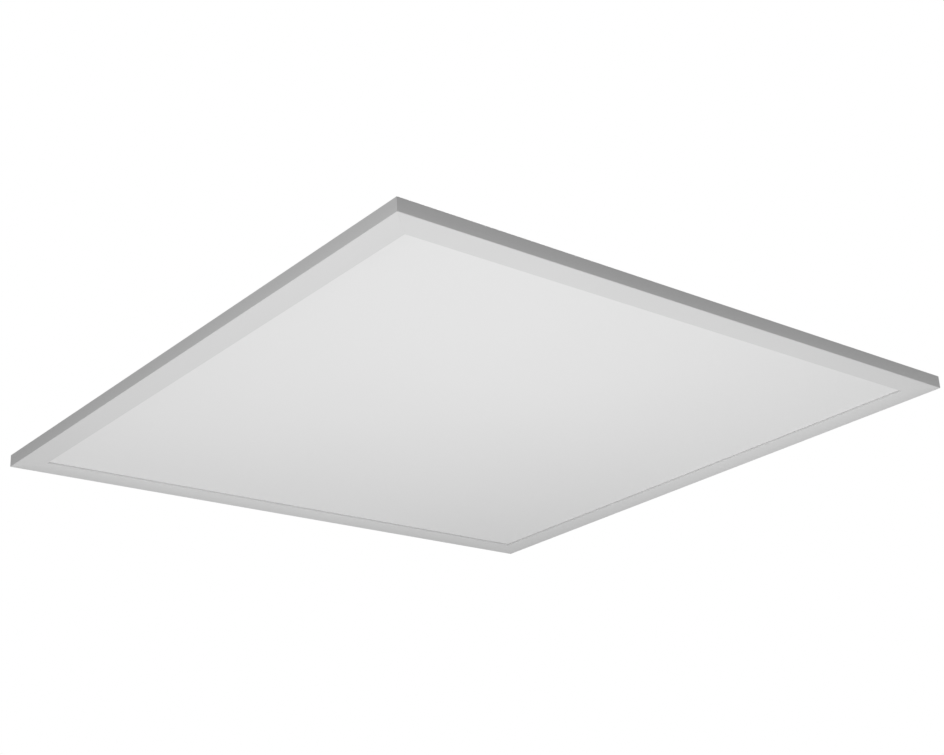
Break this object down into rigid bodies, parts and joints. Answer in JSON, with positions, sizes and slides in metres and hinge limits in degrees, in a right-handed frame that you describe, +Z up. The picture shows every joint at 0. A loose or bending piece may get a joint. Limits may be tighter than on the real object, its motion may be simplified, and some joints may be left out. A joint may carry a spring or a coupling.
{
  "type": "led panel light",
  "caption": "Slim square edge-lit ceiling panel light with a mitred white frame, opal diffuser, ribbed steel back and a hinged control gear box",
  "frame": {"origin": "centre of the rim's underside, the face that rests on the ceiling grid", "axes": "+Z up, away from the lit face and towards the back; +Y towards the side that the gear box is near; +X to the right, away from the cable inlet"},
  "size_m": [0.595, 0.595, 0.0438],
  "materials": {
    "frame": "satin white powder coat",
    "diffuser": "opal, microprismatic",
    "light_guide": "clear acrylic",
    "reflector": "matt white film",
    "foam": "foamed polyethylene sheet",
    "back_plate": "pre-painted steel sheet",
    "galvanised": "galvanised, fine spangle",
    "zinc": "zinc plated",
    "diecast": "as cast",
    "led_strip": "white solder mask",
    "rubber": "matt black",
    "grey_nylon": "moulded nylon",
    "lever": "orange moulded plastic",
    "driver_plastic": "white polycarbonate, fine texture",
    "board": "green solder mask",
    "ferrite": "sintered ferrite and tape",
    "sleeve": "shrink sleeve",
    "lead_brown": "PVC",
    "lead_blue": "PVC",
    "lead_green": "PVC, green with a yellow stripe",
    "lead_white": "PVC"
  },
  "bodies": {
    "panel": {"frame_rail_front": "frame", "frame_rail_right": "frame", "frame_rail_rear": "frame", "frame_rail_left": "frame", "corner_key_front_left": "diecast", "corner_key_front_right": "diecast", "corner_key_rear_right": "diecast", "corner_key_rear_left": "diecast", "diffuser": "diffuser", "light_guide": "light_guide", "reflector_sheet": "reflector", "foam_sheet": "foam", "led_strip_left": "led_strip", "led_strip_right": "led_strip", "back_plate": "back_plate", "back_screw_01": "zinc", "back_screw_02": "zinc", "back_screw_03": "zinc", "back_screw_04": "zinc", "back_screw_05": "zinc", "back_screw_06": "zinc", "back_screw_07": "zinc", "back_screw_08": "zinc", "back_screw_09": "zinc", "back_screw_10": "zinc", "back_screw_11": "zinc", "back_screw_12": "zinc", "gear_tray": "galvanised", "hinge_pin_left": "zinc", "hinge_pin_right": "zinc", "cable_grommet": "rubber", "lead_grommet": "rubber", "clamp_bar": "grey_nylon", "clamp_screw_front": "zinc", "clamp_screw_rear": "zinc", "earth_lug": "zinc", "earth_screw": "zinc", "terminal_block": "grey_nylon", "lever_rod": "zinc", "driver_case": "driver_plastic", "driver_lid": "driver_plastic", "driver_screw_left": "zinc", "driver_screw_right": "zinc", "driver_board": "board", "driver_transformer": "ferrite", "driver_choke": "ferrite", "driver_bulk_capacitor": "sleeve", "driver_output_capacitor": "sleeve", "driver_filter_capacitor": "grey_nylon", "driver_heat_sink": "diecast", "lead_live": "lead_brown", "lead_neutral": "lead_blue", "lead_earth": "lead_green", "strip_lead_left": "lead_white", "strip_lead_right": "lead_white"},
    "cover": {"gear_cover": "galvanised"},
    "cover_stud": {"cover_stud": "zinc"},
    "lever_live": {"terminal_lever_live": "lever"},
    "lever_earth": {"terminal_lever_earth": "lever"},
    "lever_neutral": {"terminal_lever_neutral": "lever"}
  },
  "joints": [
    {"name": "cover_hinge", "type": "hinge", "parent": "panel", "child": "cover", "pos_m": [0, 0.1974, 0.0387], "axis": [-1, 0, 0], "range_deg": [0, 110]},
    {"name": "stud_turn", "type": "hinge", "parent": "cover", "child": "cover_stud", "pos_m": [0, 0.121, 0.0392], "axis": [0, 0, 1], "range_deg": [0, 90]},
    {"name": "live_lever", "type": "hinge", "parent": "panel", "child": "lever_live", "pos_m": [-0.1015, 0.152, 0.0246], "axis": [0, -1, 0], "range_deg": [0, 90]},
    {"name": "earth_lever", "type": "hinge", "parent": "panel", "child": "lever_earth", "pos_m": [-0.1015, 0.16, 0.0246], "axis": [0, -1, 0], "range_deg": [0, 90]},
    {"name": "neutral_lever", "type": "hinge", "parent": "panel", "child": "lever_neutral", "pos_m": [-0.1015, 0.168, 0.0246], "axis": [0, -1, 0], "range_deg": [0, 90]}
  ]
}
